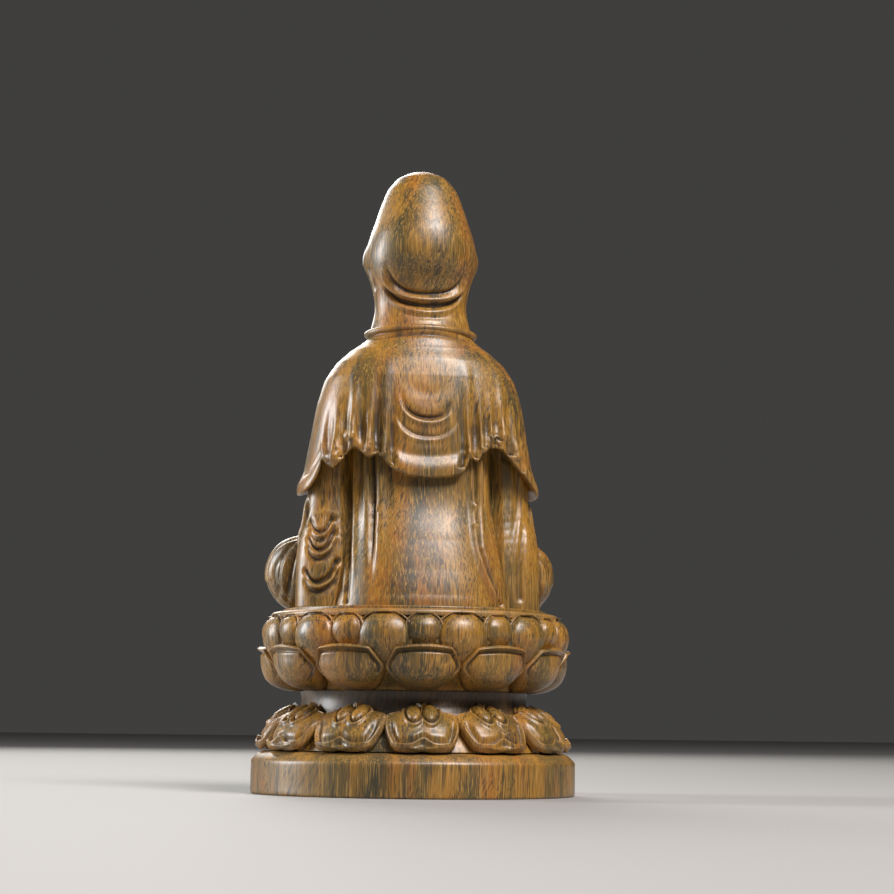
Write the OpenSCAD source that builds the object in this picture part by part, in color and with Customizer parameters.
/* [Plinth] */
// Diameter of the round plinth
plinth_d = 77; // [75:1:84]
// Height of the plinth
plinth_h = 10; // [8:0.5:14]
// Bevel round the plinth's top edge
plinth_bevel = 1.6; // [0.8:0.1:2.4]

/* [Lotus throne] */
// Petals in each tier
petal_count = 12; // [8:1:14]
// Turn of the petals about the figure's axis, degrees
lotus_turn = -4; // [-15:1:15]
// Height of the lower lotus with its down-turned petals
lower_h = 10.5; // [9.5:0.5:14]
// Diameter across the tips of the lower petals
lower_d = 74; // [70:1:76]
// Diameter of the plain waist between the two lotuses
waist_d = 54; // [48:1:58]
// Height of the waist
waist_h = 3.5; // [3:0.5:8]
// Height of the upper lotus
upper_h = 18.5; // [16:0.5:24]
// Diameter across the outer petals of the upper lotus
upper_d = 73.4; // [70:0.2:77]
// Thickness of one layer of petals
petal_t = 1.3; // [1:0.1:1.6]

/* [Seat] */
// Thickness of the round seat
seat_t = 0.75; // [0.75:0.25:3]
// Diameter of the round seat
seat_d = 63; // [60:1:68]

/* [Figure] */
// Height of the seated figure above its seat
figure_h = 106.75; // [92:0.25:118]
// Thickness of the shoulder cape
cape_t = 1.5; // [1.2:0.1:2]
// Thickness of the veil
veil_t = 2; // [1.6:0.1:2.4]

/* [Hidden] */

wood = "#9a6a35";
wood_light = "#a8783f";
wood_dark = "#855a2c";
lower_z = plinth_h;
waist_z = lower_z + lower_h;
upper_z = waist_z + waist_h;
seat_z = upper_z + upper_h;
figure_z = seat_z + seat_t;
figure_base_h = 106.75;
figure_scale = figure_h / figure_base_h;
seat_drop = 2.75;
pitch = 360 / petal_count;
gap = 0.04;
sides = 32;

// ---- Curves and skins ----

function cubic(a, b, c, d, t) =
    (2 * b + (c - a) * t + (2 * a - 5 * b + 4 * c - d) * t * t + (3 * b - a - 3 * c + d) * t * t * t) / 2;

// The row at place u along a list of rows, on a smooth curve through all of them
function row_at(rows, u) =
    let (n = len(rows) - 1, k = min(floor(u), n - 1), t = u - k)
    cubic(rows[max(k - 1, 0)], rows[k], rows[k + 1], rows[min(k + 2, n)], t);

function spread(rows, steps) =
    [for (j = [0:steps]) row_at(rows, j * (len(rows) - 1) / steps)];

function power(v, e) = sign(v) * pow(abs(v), e);

// One row is [height, centre y, half width, depth to the front, depth to the back, squareness]
function ring_point(row, a, grow = 0) =
    let (e = 2 / row[5], deep = sin(a) < 0 ? row[3] : row[4])
    [(row[2] + grow) * power(cos(a), e), row[1] + (deep + grow) * power(sin(a), e), row[0]];

function ring(row, grow = 0, n = sides) =
    [for (i = [0:n - 1]) ring_point(row, 360 * i / n, grow)];

function reversed(list) = [for (i = [len(list) - 1:-1:0]) list[i]];

// A closed solid through a stack of rings, or, when looped, a tube that closes on itself
module skin(rings, looped = false) {
    n = len(rings[0]);
    m = len(rings);
    last = looped ? m - 1 : m - 2;
    walls = [
        for (j = [0:last], i = [0:n - 1])
            let (a = j * n + i, b = j * n + (i + 1) % n, k = (j + 1) % m)
            let (c = k * n + (i + 1) % n, d = k * n + i)
            each [[a, d, c], [a, c, b]]
    ];
    caps = looped ? [] : [[for (i = [0:n - 1]) i], [for (i = [n - 1:-1:0]) (m - 1) * n + i]];
    polyhedron(points = [for (r = rings) each r], faces = concat(walls, caps), convexity = 8);
}

module loft(rows, steps, grow = 0) {
    skin([for (r = spread(rows, steps)) ring(r, grow)]);
}

// Balls along a path, each pair of neighbours hulled; a stop is [x, y, z, radius]
module limb(stops, steps, detail = 16) {
    path = spread(stops, steps);
    for (j = [0:steps - 1]) {
        hull() {
            translate([path[j].x, path[j].y, path[j].z]) sphere(r = path[j][3], $fn = detail);
            translate([path[j + 1].x, path[j + 1].y, path[j + 1].z]) sphere(r = path[j + 1][3], $fn = detail);
        }
    }
}

module egg(centre, radii, detail = 24) {
    translate(centre) scale(radii) sphere(r = 1, $fn = detail);
}

module on_seat() {
    translate([0, 0, figure_z]) scale(figure_scale) translate([0, 0, seat_drop]) children();
}

module mirrored(side) {
    mirror([side < 0 ? 1 : 0, 0, 0]) children();
}

// ---- Plinth and lotus throne ----

module plinth() {
    foot = 0.6;
    r = plinth_d / 2;
    color(wood_light)
        rotate_extrude($fn = 96)
            polygon([
                [0, 0], [r - foot, 0], [r, foot], [r, plinth_h - 1.4 * plinth_bevel],
                [r - 0.5 * plinth_bevel, plinth_h - 0.5 * plinth_bevel],
                [r - 1.3 * plinth_bevel, plinth_h], [0, plinth_h]
            ]);
}

lower_top_r = waist_d / 2 + 0.5;
lower_foot_r = lower_d / 2 - 4.5;

module lower_lotus_core() {
    color(wood_dark)
        rotate_extrude($fn = 96)
            polygon([
                [0, lower_z], [lower_foot_r, lower_z], [lower_foot_r - 0.5, lower_z + lower_h * 0.4],
                [lower_top_r, waist_z], [0, waist_z]
            ]);
}

// One ring of a petal: a domed outer edge and the surface that it lies on.
// in and out are [radius, height], w is half the petal's angle there.
function petal_ring(in, out, w) =
    let (front = [for (s = [-3:3]) s / 3], back = [0.5, 0, -0.5])
    concat(
        [for (s = front)
            let (dome = 1 - pow(abs(s), 2.6), r = in[0] + (out[0] - in[0]) * dome)
            [r * cos(w * s), r * sin(w * s), in[1] + (out[1] - in[1]) * dome]],
        [for (s = back) [in[0] * cos(w * s), in[0] * sin(w * s), in[1]]]
    );

// A row of a petal is [inner radius, inner height, outer radius, outer height, half angle]
module petals(rows, phase, steps = 6) {
    for (k = [0:petal_count - 1]) {
        rotate([0, 0, 90 + lotus_turn + pitch * (k + phase)])
            skin([for (r = spread(rows, steps)) petal_ring([r[0], r[1]], [r[2], r[3]], r[4])]);
    }
}

module lower_petals() {
    tip = lower_d / 2;
    w = pitch / 2;
    color(wood)
        petals([
            [tip - 1.6, lower_z + 0.4, tip - 0.5, lower_z + 1.2, w * 0.1],
            [tip - 2.4, lower_z + 1.6, tip, lower_z + 2.2, w * 0.55],
            [lower_foot_r + 0.4, lower_z + lower_h * 0.3, tip - 1.2, lower_z + lower_h * 0.42, w * 0.86],
            [lower_foot_r - 1.2, lower_z + lower_h * 0.55, tip - 2.6, lower_z + lower_h * 0.7, w * 0.94],
            [lower_top_r + 1.6, lower_z + lower_h * 0.8, tip - 6, lower_z + lower_h * 0.95, w * 0.8],
            [lower_top_r + 0.3, lower_z + lower_h * 0.95, lower_top_r + 1.8, waist_z + 0.1, w * 0.4]
        ], 0, 7);
}

// Small upright petals that fill the gaps between the tips of the down-turned ones
module lower_gap_petals() {
    tip = lower_d / 2;
    w = pitch / 2;
    color(wood_dark)
        petals([
            [lower_foot_r + 0.1, lower_z + 0.3, tip - 1.4, lower_z + 0.5, w * 0.4],
            [lower_foot_r - 0.1, lower_z + 2.4, tip - 2.2, lower_z + 2.8, w * 0.3],
            [lower_foot_r - 1.8, lower_z + lower_h * 0.48, tip - 4.6, lower_z + lower_h * 0.54, w * 0.08]
        ], 0.5, 3);
}

module lotus_waist() {
    color(wood_light)
        translate([0, 0, waist_z])
            cylinder(r = waist_d / 2, h = waist_h, $fn = 96);
}

// Bowl under the upper petals: radius of its surface at a share t of the upper lotus's height
function bowl_r(t) =
    let (rim = upper_d / 2 - 3 * petal_t)
    row_at([[rim - 6.5], [rim - 2.2], [rim - 0.2], [rim], [rim - 1.6]], t * 4)[0];

module upper_lotus_bowl() {
    steps = 12;
    color(wood_dark)
        rotate_extrude($fn = 96)
            polygon(concat(
                [[0, upper_z]],
                [for (j = [0:steps]) [bowl_r(j / steps), upper_z + upper_h * j / steps]],
                [[0, seat_z]]
            ));
}

// A tier lies on the tier behind it; shares run from its foot to its pointed top
module upper_tier(layer, low, high, bulge, phase) {
    full = pitch / 2;
    shares = [[0, 0.5, 0.35], [0.2, 0.86, 0.8], [0.45, 0.97, 1], [0.7, 0.86, 0.85], [0.88, 0.5, 0.5], [1, 0.08, 0.1]];
    petals([
        for (s = shares)
            let (t = low + (high - low) * s[0], z = upper_z + upper_h * t)
            let (r = bowl_r(t) + layer * petal_t + gap)
            [r, z, r + petal_t * (0.25 + bulge * s[2]), z + 0.3 * s[2], full * s[1]]
    ], phase);
}

module outer_petals() {
    color(wood_light) upper_tier(2, 0.02, 0.54, 1, 0);
}

module middle_petals() {
    color(wood) upper_tier(1, 0.24, 0.95, 0.7, 0.5);
}

module inner_petals() {
    color(wood_light) upper_tier(0, 0.48, 0.98, 0.7, 0);
}

module seat_pad() {
    color(wood)
        translate([0, 0, seat_z])
            cylinder(d = seat_d, h = seat_t, $fn = 96);
}

// ---- Seated figure, in its own frame: face to -Y, z = 0 a little above the seat, which is at -seat_drop ----

// The robe from the seat to the waist tie
skirt_rows = [
    [-seat_drop, 2, 22, 11, 22.4, 2.4], [0, 2, 21.5, 11, 22, 2.4], [6, 2, 20.6, 11, 20.6, 2.4],
    [13, 2.2, 19.2, 11, 18.4, 2.4],
    [22, 3, 17.5, 11, 15, 2.4], [30, 3, 17.4, 11.4, 14.4, 2.4], [37, 3, 17.6, 11.8, 13.9, 2.4]
];

// The robe from the waist tie to the neck
body_rows = [
    [37, 3, 17.6, 11.8, 13.9, 2.4], [43, 3, 18, 12, 13.6, 2.4],
    [50, 3.4, 17.6, 10.6, 12.4, 2.3], [56, 3.6, 14.6, 8.6, 10.6, 2.2], [60, 3.6, 11.4, 7.4, 9.4, 2.1],
    [62, 3.6, 10.4, 7, 8.8, 2]
];

// Outer face of the cape, over the back, the shoulders and the upper arms
cape_rows = [
    [26, 2.2, 28.4, 12.4, 17.6, 2.5], [30, 2.2, 27.6, 13, 17.2, 2.5], [38, 2.4, 26.2, 14, 16.6, 2.5],
    [46, 2.8, 24.8, 13.6, 15.8, 2.5], [52, 3.2, 23, 12.2, 14.6, 2.4], [56, 3.6, 20.4, 10.8, 13.2, 2.3],
    [59, 3.6, 17.2, 9.8, 11.8, 2.2], [61, 3.6, 14.4, 9.2, 11, 2.1], [62.4, 3.6, 12.9, 8.8, 10.4, 2]
];
cape_top = 62.4;

// Height of the cape's hem: low tips at the sides, a shallow arch behind, a high one over the chest
function hem_z(a) =
    let (side = abs(cos(a)), back = max(sin(a), 0), front = max(-sin(a), 0))
    27.4 + 26 * pow(front, 2) + 11 * back * pow(side, 1.2) * (1 - side) * 4 * (1 - 0.55 * back) + 4.4 * back;

// The row of a loft near height z
function row_near(rows, z) =
    row_at(rows, lookup(z, [for (i = [0:len(rows) - 1]) [rows[i][0], i]]));

function cape_line(a, grow, steps) =
    [for (j = [0:steps])
        let (z = hem_z(a) + (cape_top - hem_z(a)) * j / steps, p = ring_point(row_near(cape_rows, z), a, grow))
        [p.x, p.y, z]];

module cape_solid() {
    steps = 10;
    n = 48;
    outer = [for (i = [0:n - 1]) cape_line(360 * i / n, 0, steps)];
    inner = [for (i = [0:n - 1]) cape_line(360 * i / n, -cape_t, steps)];
    skin([
        for (i = [0:n - 1]) concat(inner[i], reversed(outer[i]))
    ], true);
}

module robe_skirt() {
    color(wood_light) on_seat() loft(skirt_rows, 8);
}

module robe_body() {
    color(wood) on_seat() loft(body_rows, 10);
}

// Everything above the seat
module above_seat() {
    difference() {
        children();
        translate([-60, -60, -40 - seat_drop]) cube([120, 120, 40]);
    }
}

// Upper arm under the cape, forearm to the lap, and the cloth that hangs behind the knee
module arm_cloth() {
    limb([[15.8, 3.4, 51, 4.8], [18.4, 3, 42, 4.9], [20.2, 2.4, 31, 5], [20.9, 1, 20.5, 5.2]], 5);
    limb([[20.9, 1, 20.5, 5.2], [19.6, -7, 17.4, 5.4], [15.6, -12, 16, 5.2], [11.6, -14.8, 15.4, 4.4]], 4);
    limb([[20.8, 2, 20, 5.2], [20.2, 4, 12, 6], [20, 5, 2, 6.4]], 3);
}

module sleeve(side) {
    difference() {
        mirrored(side) above_seat() arm_cloth();
        loft(skirt_rows, 8, gap);
        loft(body_rows, 10, gap);
    }
}

module left_sleeve() {
    color(wood_light) on_seat() sleeve(1);
}

module right_sleeve() {
    color(wood_light) on_seat() sleeve(-1);
}

// Thigh out to the knee and shin back across the front; the right shin lies in front of the left
module leg(side) {
    cross = side > 0 ? 0 : 3.4;
    mid = side > 0 ? 0.6 : 0;
    difference() {
        mirrored(side) above_seat()
            limb([
                [8, 0, 6.6, 9.4], [18, -5, 6.4, 9.6], [25.8, -9, 6.4, 9.4], [21, -17.5 - cross / 2, 4.6, 8.4],
                [12, -20 - cross, 3.8, 8], [mid, -20.6 - cross, 3.6, 7.8]
            ], 9);
        loft(skirt_rows, 8, gap);
        mirrored(side) arm_cloth();
        translate([side > 0 ? -60 : 0, -60, -5]) cube([60, 120, 60]);
        mirrored(1) hands_space();
    }
}

// Room over the lap for both hands
module hands_space() {
    egg([0, -18.6, 15.6], [11, 6, 4.2]);
}

module left_leg() {
    color(wood) on_seat() leg(1);
}

module right_leg() {
    color(wood) on_seat() leg(-1);
}

// A hand lying palm up in the lap, fingers across, thumb raised to the middle
module hand(side) {
    low = side > 0 ? 0 : 2.6;
    difference() {
        mirrored(side) {
            hull() {
                egg([8.4, -16.6, 13.5 + low], [2.2, 2.4, 1.1], 10);
                egg([3, -18.2, 12.9 + low], [2, 3, 1.05], 10);
            }
            for (f = [0:3]) {
                across = -15.9 - 1.55 * f;
                hull() {
                    egg([3, across, 13 + low], [0.9, 0.8, 0.8], 10);
                    egg([-0.6, across, 13.1 + low], [0.9, 0.75, 0.75], 10);
                }
                hull() {
                    egg([-0.6, across, 13.1 + low], [0.9, 0.75, 0.75], 10);
                    egg([-4.4, across * 0.96 - 0.6, 13.3 + low], [0.8, 0.65, 0.65], 10);
                }
            }
            hull() {
                egg([7.6, -15, 14], [1, 0.9, 0.9], 10);
                egg([0.9, -13.4, 17.8], [0.8, 0.75, 0.75], 10);
            }
        }
        mirrored(side) arm_cloth();
    }
}

module left_hand() {
    color(wood_light) on_seat() hand(1);
}

module right_hand() {
    color(wood_light) on_seat() hand(-1);
}

module shoulder_cape() {
    color(wood_light) on_seat() cape_solid();
}

module collar_band() {
    color(wood)
        on_seat()
            skin([
                ring([cape_top, 3.6, 12.9, 8.8, 10.4, 2]), ring([cape_top + 1.4, 3.4, 13, 8.8, 10.4, 2]),
                ring([cape_top + 2, 3.3, 12.4, 8.2, 9.8, 2]), ring([cape_top + 2, 3.3, 7, 6, 6, 2]),
                ring([cape_top, 3.6, 7, 6, 6, 2])
            ], true);
}

module neck() {
    color(wood_light) on_seat() loft([
        [62.1, 2.6, 6.9, 5.6, 5.6, 2], [65, 1.6, 6.2, 5.6, 5.6, 2], [70, 0.4, 6, 5.6, 5.6, 2], [71, 0.2, 6, 5.6, 5.6, 2]
    ], 6);
}

// ---- Head ----

// Skull and face from the chin up
head_rows = [
    [68, -5, 2.4, 2, 3, 2], [69.4, -4.4, 4.8, 3.8, 5, 2], [72, -3.4, 6.7, 5.2, 7.4, 2.1],
    [76, -2.6, 7.9, 6.4, 9.4, 2.2], [80, -2.2, 8.5, 6.8, 10.4, 2.2], [84, -2, 8.6, 6.6, 10.6, 2.2],
    [87.4, -1.8, 7.4, 5.6, 9, 2.2], [90, -1.4, 5, 4, 6.4, 2.1], [91, -1.2, 2.4, 2, 3, 2]
];
hair_egg = [9.6, 9.4, 9];

veil_rows = [
    [64.5, 3.3, 12.3, 8, 9.6, 2], [68, 3, 11.5, 8, 9, 2], [71, 2.6, 11.3, 8.4, 9, 2],
    [75, 2.4, 12.1, 9, 11, 2.1], [79, 2.4, 13.4, 9.6, 13.2, 2.1], [82.5, 2.4, 14, 9.8, 14.2, 2.1],
    [87, 2.4, 12.8, 9.6, 13.8, 2.1], [91, 2.4, 11.3, 9.2, 12.4, 2.1], [95, 2.4, 10, 8.4, 10.6, 2.1],
    [99, 2.4, 8.4, 7.2, 8.6, 2.1], [102, 2.4, 6.2, 5.4, 6.4, 2], [103.6, 2.4, 3.2, 3, 3.4, 2], [104, 2.4, 1.2, 1.2, 1.2, 2]
];

module nose() {
    hull() {
        egg([0, -8.9, 82], [0.8, 0.9, 1], 12);
        egg([0, -10.1, 77.8], [1.3, 1.1, 1], 12);
    }
}

module head() {
    color(wood_light)
        on_seat() {
            loft(head_rows, 12);
            difference() {
                nose();
                loft(head_rows, 12);
            }
        }
}

// Hair: a cap over the skull, open over the face
module hair() {
    color(wood_dark)
        on_seat()
            difference() {
                union() {
                    for (a = [0:9]) {
                        hull() {
                            egg([0, 0.4, 83], hair_egg);
                            egg([7.2 * cos(36 * a), 3 + 5 * sin(36 * a), 80], [3, 4, 5], 12);
                        }
                    }
                }
                loft(head_rows, 12, gap);
                egg([0, -14, 76], [8.6, 12.6, 12], 24);
                translate([-30, -30, 50]) cube([60, 60, 23]);
                translate([-30, -30, 50]) cube([60, 24.4, 38]);
            }
}

module topknot() {
    color(wood_dark)
        on_seat()
            difference() {
                egg([0, 0.6, 94.6], [5.4, 5, 4.8], 32);
                egg([0, 0.4, 83], hair_egg + [gap, gap, gap], 32);
            }
}

// A plain leaf-shaped plaque standing against the front of the topknot
module hair_ornament() {
    color(wood_light)
        on_seat()
            difference() {
                hull() {
                    egg([0, -6.4, 91], [3.2, 1.6, 1.8], 16);
                    egg([0, -5.2, 96.6], [0.7, 0.8, 0.8], 16);
                }
                egg([0, 0.6, 94.6], [5.5, 5.1, 4.9], 32);
                egg([0, 0.4, 83], hair_egg + [gap, gap, gap], 32);
            }
}

module ear(side) {
    difference() {
        mirrored(side) {
            egg([8.8, -1.4, 78.4], [1.1, 1.8, 3], 16);
            egg([8.4, -2, 74], [0.9, 1.3, 2.8], 16);
        }
        loft(head_rows, 12, gap);
    }
}

module left_ear() {
    color(wood_light) on_seat() ear(1);
}

module right_ear() {
    color(wood_light) on_seat() ear(-1);
}

module head_space() {
    loft(head_rows, 12, gap);
    for (s = [-1, 1]) {
        mirrored(s) egg([8.8, -1.4, 78.4], [1.2, 1.9, 3.1], 16);
    }
    egg([0, 0.4, 83], hair_egg + [gap, gap, gap]);
    egg([0, 0.6, 94.6], [5.5, 5.1, 4.9]);
}

// The veil hangs from the crown over the back of the head; the arch over the face stays open
module veil() {
    color(wood_light)
        on_seat()
            difference() {
                loft(veil_rows, 18);
                difference() {
                    loft(concat([[60, 3.4, 12.6, 8, 9.8, 2]], veil_rows), 18, -veil_t);
                    translate([-30, -30, 99.6]) cube([60, 60, 20]);
                }
                for (k = [0:9]) {
                    hull() {
                        translate([0, -16, 60 + 2 * k]) scale([8.2, 14, 2]) sphere(r = 1, $fn = 24);
                        translate([0, -16, 62 + 3.2 * k]) scale([8.2 - 0.28 * k, 14, 2]) sphere(r = 1, $fn = 24);
                    }
                }
                head_space();
            }
}

// A string of small beads over the chest with a drop at its middle
module necklace() {
    beads = 14;
    color(wood_dark)
        on_seat()
            for (k = [0:beads]) {
                a = 180 + 180 * k / beads;
                drop = pow(abs(sin(a)), 1.4);
                z = 59 - 13 * drop;
                p = ring_point(row_near(body_rows, z), a, 0.7);
                translate([p.x * 0.98, p.y, z]) sphere(r = k == beads / 2 ? 1.3 : 0.8, $fn = 16);
            }
}

plinth();
lower_lotus_core();
lower_petals();
lower_gap_petals();
lotus_waist();
upper_lotus_bowl();
outer_petals();
middle_petals();
inner_petals();
seat_pad();
robe_skirt();
robe_body();
left_leg();
right_leg();
left_sleeve();
right_sleeve();
left_hand();
right_hand();
shoulder_cape();
collar_band();
neck();
head();
hair();
topknot();
hair_ornament();
left_ear();
right_ear();
veil();
necklace();
